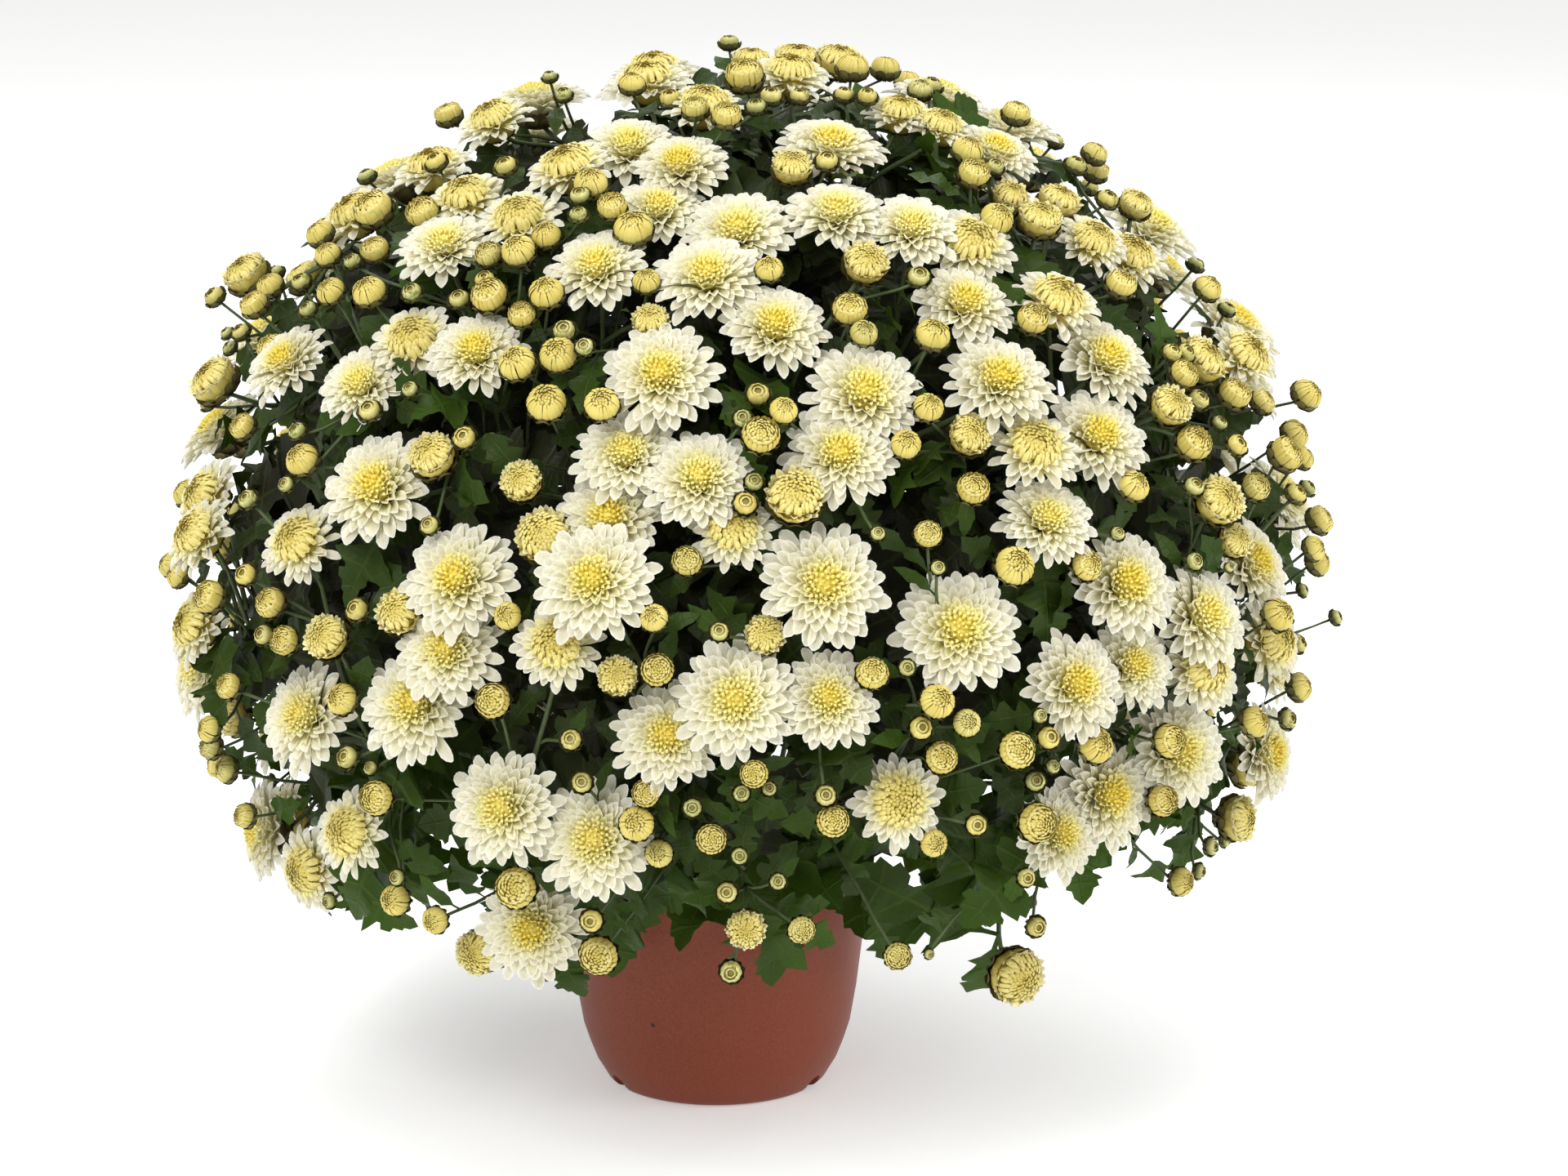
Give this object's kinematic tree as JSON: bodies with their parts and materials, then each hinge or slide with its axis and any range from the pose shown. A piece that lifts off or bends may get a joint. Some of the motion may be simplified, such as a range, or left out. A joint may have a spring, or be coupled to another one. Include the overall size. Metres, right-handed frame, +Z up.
{
  "type": "pot chrysanthemum",
  "caption": "Potted chrysanthemum with a dome of double white flowers, half-open heads and buds on leafy stems in a tapered round plastic pot. Stands on its flat foot.",
  "frame": {"origin": "centre of the pot's foot, on the ground", "axes": "+Z up along the pot's axis; -Y is the front, the side with the most flowers set by hand; +X to the right seen from the front"},
  "size_m": [0.5374, 0.5367, 0.4938],
  "materials": {
    "pot": "moulded terracotta-brown plastic",
    "compost": "dark crumbly potting compost",
    "foliage": "soft green leaves and stems",
    "petals": "white petals with yellow centres"
  },
  "bodies": {
    "root": {"pot": "pot", "compost": "compost", "leafy_stem_01": "foliage", "leafy_stem_02": "foliage", "leafy_stem_03": "foliage", "leafy_stem_04": "foliage", "leafy_stem_05": "foliage", "leafy_stem_06": "foliage", "leafy_stem_07": "foliage", "leafy_stem_08": "foliage", "leafy_stem_09": "foliage", "leafy_stem_10": "foliage", "leafy_stem_11": "foliage", "leafy_stem_12": "foliage", "leafy_stem_13": "foliage", "leafy_stem_14": "foliage", "bloom_bunch_01": "petals", "bloom_bunch_02": "petals", "bloom_bunch_03": "petals", "bloom_bunch_04": "petals", "bloom_bunch_05": "petals", "bloom_bunch_06": "petals", "bloom_bunch_07": "petals", "bloom_bunch_08": "petals", "bloom_bunch_09": "petals", "bloom_bunch_10": "petals", "bloom_bunch_11": "petals", "bloom_bunch_12": "petals", "bloom_bunch_13": "petals", "bloom_bunch_14": "petals", "bloom_bunch_15": "petals", "bloom_bunch_16": "petals", "bloom_bunch_17": "petals", "bloom_bunch_18": "petals", "bloom_bunch_19": "petals", "bloom_bunch_20": "petals", "bloom_bunch_21": "petals", "bloom_bunch_22": "petals", "bloom_bunch_23": "petals", "bloom_bunch_24": "petals", "bloom_bunch_25": "petals", "bloom_bunch_26": "petals", "bloom_bunch_27": "petals", "bloom_bunch_28": "petals", "bloom_bunch_29": "petals", "bloom_bunch_30": "petals", "bloom_bunch_31": "petals", "bloom_bunch_32": "petals", "bloom_bunch_33": "petals", "bloom_bunch_34": "petals", "bloom_bunch_35": "petals", "bloom_bunch_36": "petals", "bloom_bunch_37": "petals", "bloom_bunch_38": "petals", "bloom_bunch_39": "petals", "bloom_bunch_40": "petals", "bloom_bunch_41": "petals", "bloom_bunch_42": "petals", "bloom_bunch_43": "petals"}
  },
  "joints": []
}
